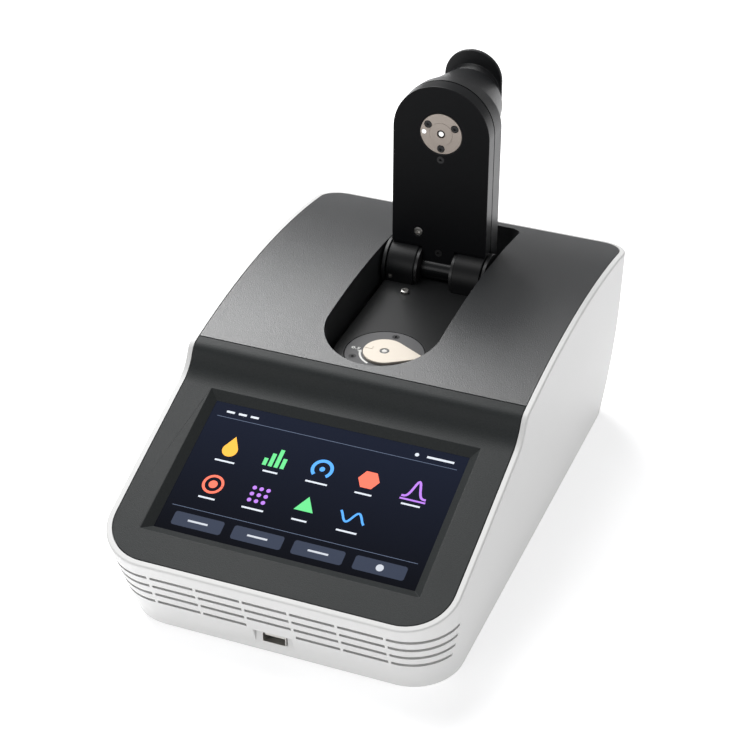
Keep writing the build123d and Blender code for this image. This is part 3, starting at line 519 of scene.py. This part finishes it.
# The frame's forward faces take the darker copy and the rest the lighter one: lit and shaded copies of one
# material, painted shade on the face and painted sheen on the rim.
armMesh = softPieces["arm_frame"].data
armMesh.materials.append(materials["armFace"])
for polygon in armMesh.polygons:
    if polygon.normal.y < -0.95:
        polygon.material_index = 1
print("solids softened")

# Display glass and the picture on it

panel = {
    "tilt": radians(19.3),
    "centre": (0.0, -0.100742, 0.081159),
    "glassDrop": 0.0037,
    "film": 0.04,  # thickness of a printed or lit mark, in mm
    "glassLow": 0.062,  # heights of the window's lower and upper edges
    "glassHigh": 0.094,
    "lowTone": (0.0012, 0.0016, 0.0038, 1.0),
    "highTone": (0.0075, 0.0105, 0.023, 1.0),
}


def makeGlass(spec):
    # Dark navy, lighter towards the upper edge, under clear gloss.
    material = bpy.data.materials.new("displayGlass")
    material.use_nodes = True
    nodes, links = material.node_tree.nodes, material.node_tree.links
    shader = nodes["Principled BSDF"]
    coordinates = nodes.new("ShaderNodeTexCoord")
    split = nodes.new("ShaderNodeSeparateXYZ")
    links.new(coordinates.outputs["Object"], split.inputs["Vector"])
    height = nodes.new("ShaderNodeMapRange")
    height.inputs["From Min"].default_value = spec["glassLow"]
    height.inputs["From Max"].default_value = spec["glassHigh"]
    links.new(split.outputs["Z"], height.inputs["Value"])
    ramp = nodes.new("ShaderNodeValToRGB")
    ramp.color_ramp.elements[0].color = spec["lowTone"]
    ramp.color_ramp.elements[1].color = spec["highTone"]
    links.new(height.outputs["Result"], ramp.inputs["Fac"])
    links.new(ramp.outputs["Color"], shader.inputs["Base Color"])
    links.new(ramp.outputs["Color"], shader.inputs["Emission Color"])
    shader.inputs["Emission Strength"].default_value = 0.3
    shader.inputs["Roughness"].default_value = 0.10
    shader.inputs["Specular IOR Level"].default_value = 0.012
    return material


def makeLit(name, colour, glow):
    material = bpy.data.materials.new(name)
    material.use_nodes = True
    shader = material.node_tree.nodes["Principled BSDF"]
    shader.inputs["Base Color"].default_value = (*colour, 1.0)
    shader.inputs["Emission Color"].default_value = (*colour, 1.0)
    shader.inputs["Emission Strength"].default_value = glow
    shader.inputs["Roughness"].default_value = 0.35
    shader.inputs["Specular IOR Level"].default_value = 0.05
    return material


def bar(x, y, wide, high, corner=0.0):
    # A rectangle round (x, y), with rounded corners where corner is given.
    if corner == 0:
        corners = ((-1, -1), (1, -1), (1, 1), (-1, 1))
        return [(x + sx * wide / 2, y + sy * high / 2) for sx, sy in corners]
    points = []
    for turn, (sx, sy) in enumerate(((1, 1), (-1, 1), (-1, -1), (1, -1))):
        for step in range(5):
            angle = (turn + step / 4) * pi / 2
            points.append((
                x + sx * (wide / 2 - corner) + corner * cos(angle),
                y + sy * (high / 2 - corner) + corner * sin(angle),
            ))
    return points


def disc(x, y, radius, sides=24, turn=0.0):
    angles = [turn + 2 * pi * i / sides for i in range(sides)]
    return [(x + radius * cos(a), y + radius * sin(a)) for a in angles]


def arcBand(x, y, inner, outer, start, end, steps=28):
    # Part of a ring between two angles in degrees.
    angles = [radians(start + (end - start) * i / steps) for i in range(steps + 1)]
    outside = [(x + outer * cos(a), y + outer * sin(a)) for a in angles]
    inside = [(x + inner * cos(a), y + inner * sin(a)) for a in reversed(angles)]
    return outside + inside


def drop(x, y, radius, tip, start=155.0, end=385.0, steps=24):
    # A round drop with its point straight up.
    angles = [radians(start + (end - start) * i / steps) for i in range(steps + 1)]
    return [(x + radius * cos(a), y + radius * sin(a)) for a in angles] + [(x, y + tip)]


def stroke(points, wide):
    # A line of even width through the points.
    left, right = [], []
    for i, (x, y) in enumerate(points):
        ahead = points[min(i + 1, len(points) - 1)]
        behind = points[max(i - 1, 0)]
        run = Vector((ahead[0] - behind[0], ahead[1] - behind[1])).normalized() * wide / 2
        left.append((x - run.y, y + run.x))
        right.append((x + run.y, y - run.x))
    return right + left[::-1]


def marks(pieceName, outlines, plane, material, body, low=0.0):
    # Thin closed plates with the given outlines in millimetres, low above a plane.
    work = bmesh.new()
    for outline in outlines:
        area = sum(a[0] * b[1] - b[0] * a[1] for a, b in zip(outline, outline[1:] + outline[:1]))
        ordered = outline if area > 0 else outline[::-1]
        rings = []
        for height in (low, low + panel["film"]):
            places = [plane @ Vector((x * mm, y * mm, height * mm)) for x, y in ordered]
            rings.append([work.verts.new(place) for place in places])
        work.faces.new(rings[1])
        work.faces.new(rings[0][::-1])
        count = len(ordered)
        for i in range(count):
            j = (i + 1) % count
            work.faces.new((rings[0][i], rings[0][j], rings[1][j], rings[1][i]))
    mesh = bpy.data.meshes.new(pieceName)
    work.to_mesh(mesh)
    work.free()
    piece = bpy.data.objects.new(pieceName, mesh)
    bpy.context.scene.collection.objects.link(piece)
    dress(piece, material)
    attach(piece, body)


tilt = panel["tilt"]
across = Vector((1.0, 0.0, 0.0))
upSlope = Vector((0.0, cos(tilt), sin(tilt)))
outOfPanel = Vector((0.0, -sin(tilt), cos(tilt)))
glassPlane = Matrix((across, upSlope, outOfPanel)).transposed().to_4x4()
glassPlane.translation = Vector(panel["centre"]) - outOfPanel * panel["glassDrop"]

frame["nodes"]["display_glass"].material_slots[0].material = makeGlass(panel)

# The picture's layout in millimetres, from the window's middle.
columns = (-56.0, -28.0, 0.0, 28.0, 56.0)
upperRow, lowerRow, labelDrop = 16.0, -10.0, 9.6
statusRow, upperRule, lowerRule, buttonRow = 39.5, 35.5, -28.5, -36.5
buttonColumns = (-54.0, -18.0, 18.0, 54.0)
upperLabels, lowerLabels = (12, 9, 13, 10, 11), (10, 13, 9, 12)
curveSteps = range(-11, 12)


def labelBars():
    rows = ((upperRow, upperLabels), (lowerRow, lowerLabels))
    bars = [bar(x, row - labelDrop, wide, 1.1) for row, wides in rows for x, wide in zip(columns, wides)]
    bars += [bar(-66.0 + i * 7.5, statusRow, 5.0, 1.4) for i in range(3)]
    return bars + [bar(62.0, statusRow, 16.0, 1.4), disc(48.0, statusRow, 1.2)]


def barChart(x, y, heights, pitch=3.6):
    middle = (len(heights) - 1) / 2
    return [bar(x + (i - middle) * pitch, y - 6.0 + high / 2, 2.4, high) for i, high in enumerate(heights)]


def dotGrid(x, y, pitch=4.2):
    steps = (-1, 0, 1)
    return [disc(x + ix * pitch, y + iy * pitch, 1.3, sides=12) for ix in steps for iy in steps]


def waveLine(x, y, pitch=0.7, swing=3.4):
    return stroke([(x + i * pitch, y + swing * sin(i * pi / 8)) for i in curveSteps], 1.3)


def peakLine(x, y, pitch=0.65, high=11.0):
    return stroke([(x + i * pitch, y - 4.5 + high * 2.718 ** (-(i / 4.0) ** 2)) for i in curveSteps], 1.4)


picture = {
    # name: (colour, glow, outlines)
    "screenLabels": ((0.62, 0.66, 0.72), 0.28, labelBars()),
    "screenRule": ((0.10, 0.13, 0.20), 0.2, [bar(0.0, y, 146.0, 0.35) for y in (upperRule, lowerRule)]),
    "screenButtons": ((0.030, 0.040, 0.070), 0.15, [
        bar(x, buttonRow, 30.0, 9.0, 1.6) for x in buttonColumns
    ]),
    "screenAmber": ((0.85, 0.42, 0.05), 0.35, [drop(columns[0], upperRow - 1.5, 4.6, 9.5)]),
    "screenGreen": ((0.12, 0.62, 0.22), 0.35, barChart(columns[1], upperRow, (5.0, 9.0, 12.5, 7.0)) + [
        disc(columns[2], lowerRow, 6.6, sides=3, turn=pi / 2),
    ]),
    "screenBlue": ((0.08, 0.34, 0.85), 0.35, [
        arcBand(columns[2], upperRow, 4.6, 6.6, -50, 230),
        disc(columns[2], upperRow, 1.6),
        waveLine(columns[3], lowerRow),
    ]),
    "screenCoral": ((0.85, 0.16, 0.10), 0.35, [
        disc(columns[3], upperRow, 6.4, sides=6),
        arcBand(columns[0], lowerRow, 4.8, 6.4, 0, 358),
        disc(columns[0], lowerRow, 2.6),
    ]),
    "screenPurple": ((0.42, 0.18, 0.72), 0.35, [
        peakLine(columns[4], upperRow),
        bar(columns[4], upperRow - 6.4, 15.0, 1.1),
    ] + dotGrid(columns[1], lowerRow)),
}
for pieceName, (colour, glow, outlines) in picture.items():
    marks(pieceName, outlines, glassPlane, makeLit(pieceName, colour, glow), "base")
buttonMarks = [bar(x, buttonRow, 12.0, 1.2) for x in buttonColumns[:3]]
buttonMarks.append(disc(buttonColumns[3], buttonRow, 2.2))
paleMark = makeLit("buttonMarks", (0.55, 0.58, 0.64), 0.2)
marks("buttonMarks", buttonMarks, glassPlane, paleMark, "base", low=panel["film"])
print("display ready")

# White marks on the pedestal's ring

ringX, ringY, _ = middleOf("pedestal_ring")
ringPlane = Matrix.Translation((ringX, ringY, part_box("pedestal_ring")[1][2]))


def numberMarks(x, y):
    # A nought, a point and a five, with (x, y) between the nought and the point.
    nought = arcBand(x - 1.6, y, 0.55, 1.15, 0, 358)
    point = disc(x + 0.2, y - 1.0, 0.3, sides=10)
    fiveTop = bar(x + 1.7, y + 1.05, 1.5, 0.45)
    fiveStem = bar(x + 1.15, y + 0.6, 0.45, 0.9)
    fiveBowl = arcBand(x + 1.5, y - 0.35, 0.35, 0.85, -150, 110, steps=14)
    return [nought, point, fiveTop, fiveStem, fiveBowl]


def arrowMarks():
    # An arc beside the selector, with its head towards the number.
    return [arcBand(0.0, 0.0, 13.9, 15.1, -166, -112), [(-12.9, -4.1), (-15.9, -3.3), (-14.0, -1.2)]]


ringMarks = numberMarks(-17.8, -0.6) + arrowMarks()
marks("ringMarks", ringMarks, ringPlane, makeLit("ringPaint", (0.75, 0.75, 0.73), 0.0), "base")
print("ring marks ready")
